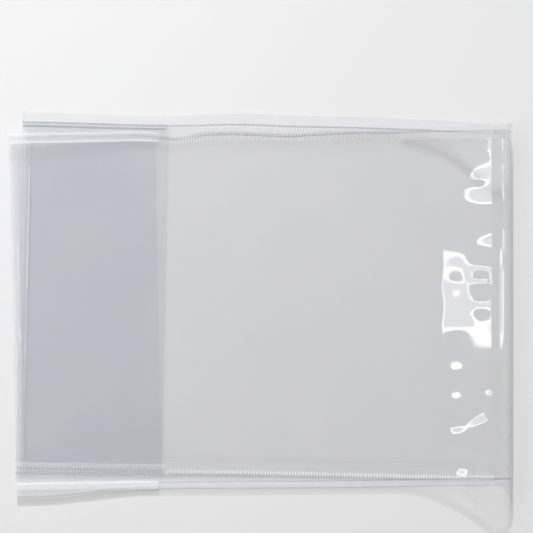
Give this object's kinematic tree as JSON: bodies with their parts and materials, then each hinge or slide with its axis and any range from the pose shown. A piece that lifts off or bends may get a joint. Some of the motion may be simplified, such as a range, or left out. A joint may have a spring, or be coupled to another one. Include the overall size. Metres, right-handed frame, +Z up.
{
  "type": "goshuin sleeve",
  "caption": "Clear film cover for a folding stamp book, lying folded shut: a round sprung spine bend, ribbed welded edges and a pocket flap inside each leaf.",
  "frame": {"origin": "middle of the folded cover's box, on the surface that the rear leaf lies on", "axes": "+X across the leaves towards the spine bend, +Y along the bend, +Z up out of the rear leaf"},
  "size_m": [0.2664, 0.2008, 0.017],
  "materials": {
    "clear_film": "clear soft vinyl film, glossy",
    "bluish_film": "clear soft vinyl film with a faint blue tint, glossy",
    "welded_film": "heat-welded film with fine cross ribs"
  },
  "bodies": {
    "rear_cover": {"rear_leaf": "clear_film", "rear_flap": "bluish_film", "rear_top_seam": "welded_film", "rear_bottom_seam": "welded_film", "rear_fore_seam": "welded_film"},
    "spine_strip_1": {"spine_strip_1": "clear_film"},
    "spine_strip_2": {"spine_strip_2": "clear_film"},
    "spine_strip_3": {"spine_strip_3": "clear_film"},
    "spine_strip_4": {"spine_strip_4": "clear_film"},
    "spine_shoulder": {"spine_shoulder": "clear_film"},
    "front_cover": {"front_leaf": "clear_film", "front_flap": "bluish_film", "front_top_seam": "welded_film", "front_bottom_seam": "welded_film", "front_fore_seam": "welded_film"}
  },
  "joints": [
    {"name": "cover_opening", "type": "hinge", "parent": "rear_cover", "child": "front_cover", "pos_m": [0.13814, 0, 0.0025], "axis": [0, 1, 0], "range_deg": [0, 180]},
    {"name": "front_fold", "type": "hinge", "parent": "front_cover", "child": "spine_shoulder", "pos_m": [0.06972, 0, 0.00195], "axis": [0, 1, 0], "range_deg": [0, 16.55]},
    {"name": "spine_fold_4", "type": "hinge", "parent": "spine_shoulder", "child": "spine_strip_4", "pos_m": [0.12073, 0, 0.01583], "axis": [0, 1, 0], "range_deg": [-16.05, 0]},
    {"name": "spine_fold_3", "type": "hinge", "parent": "spine_strip_4", "child": "spine_strip_3", "pos_m": [0.12806, 0, 0.01615], "axis": [0, 1, 0], "range_deg": [-56.19, 0]},
    {"name": "spine_fold_2", "type": "hinge", "parent": "spine_strip_3", "child": "spine_strip_2", "pos_m": [0.13281, 0, 0.01056], "axis": [0, 1, 0], "range_deg": [-56.19, 0]},
    {"name": "spine_fold_1", "type": "hinge", "parent": "spine_strip_2", "child": "spine_strip_1", "pos_m": [0.13131, 0, 0.00338], "axis": [0, 1, 0], "range_deg": [-56.19, 0]}
  ],
  "couplings": [
    {"joint": "front_fold", "follows": "cover_opening", "ratio": 0.091656},
    {"joint": "spine_fold_4", "follows": "cover_opening", "ratio": -0.08891},
    {"joint": "spine_fold_3", "follows": "cover_opening", "ratio": -0.3119},
    {"joint": "spine_fold_2", "follows": "cover_opening", "ratio": -0.3119},
    {"joint": "spine_fold_1", "follows": "cover_opening", "ratio": -0.3119}
  ]
}
